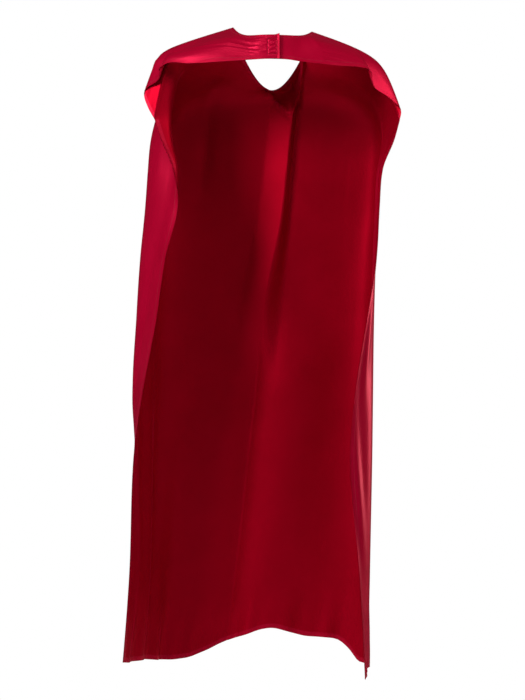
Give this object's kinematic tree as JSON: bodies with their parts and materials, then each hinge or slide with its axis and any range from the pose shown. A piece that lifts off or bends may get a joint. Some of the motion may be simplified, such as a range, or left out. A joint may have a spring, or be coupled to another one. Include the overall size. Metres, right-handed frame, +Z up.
{
  "type": "superhero cape",
  "caption": "Full-length satin cape with a stretched shoulder yoke and two neck straps that lap at the throat under a hook-and-loop tab.",
  "frame": {"origin": "middle of the neck opening, level with the neck points", "axes": "+Z up, +X to the right seen from the front, the open front faces -Y and the hanging panel is at +Y"},
  "size_m": [0.5112, 0.2552, 1.2016],
  "materials": {
    "satin": "glossy polyester satin, duller on its inner face",
    "satin_turned": "satin hem turned to the inner face",
    "thread": "polyester sewing thread",
    "hook_tape": "nylon hook tape",
    "loop_tape": "brushed nylon loop tape"
  },
  "bodies": {
    "root": {"shoulder_yoke": "satin", "neckline_hem": "satin_turned", "left_shoulder_hem": "satin_turned", "right_shoulder_hem": "satin_turned", "neckline_thread": "thread", "shoulder_thread": "thread"},
    "over_strap": {"over_strap": "satin", "over_strap_hem": "satin_turned", "over_strap_thread": "thread"},
    "tab": {"closure_tab": "satin", "tab_hem": "satin_turned", "hook_patch": "hook_tape", "tab_box_stitch": "thread"},
    "under_strap": {"under_strap": "satin", "under_strap_hem": "satin_turned", "under_strap_thread": "thread", "loop_patch": "loop_tape", "loop_box_stitch": "thread"},
    "back_panel": {"back_panel": "satin", "left_side_hem": "satin_turned", "right_side_hem": "satin_turned", "bottom_hem": "satin_turned", "left_side_thread": "thread", "right_side_thread": "thread", "bottom_thread": "thread"}
  },
  "joints": [
    {"name": "over_strap_swing", "type": "hinge", "parent": "root", "child": "over_strap", "pos_m": [-0.0529, -0.0774, -0.0432], "axis": [-0.1071, -0.5033, -0.8575], "range_deg": [0, 50]},
    {"name": "tab_peel", "type": "hinge", "parent": "over_strap", "child": "tab", "pos_m": [-0.01396, -0.0927, -0.0437], "axis": [-0.019, -0.261, -0.9651], "range_deg": [0, 110]},
    {"name": "under_strap_swing", "type": "hinge", "parent": "root", "child": "under_strap", "pos_m": [0.0529, -0.0774, -0.0451], "axis": [-0.1041, 0.4875, 0.8669], "range_deg": [0, 20]},
    {"name": "panel_swing", "type": "hinge", "parent": "root", "child": "back_panel", "pos_m": [0, 0.127, -0.169], "axis": [1, 0, 0], "range_deg": [0, 35]}
  ],
  "couplings": [
    {"joint": "under_strap_swing", "follows": "over_strap_swing", "ratio": 0.4}
  ]
}
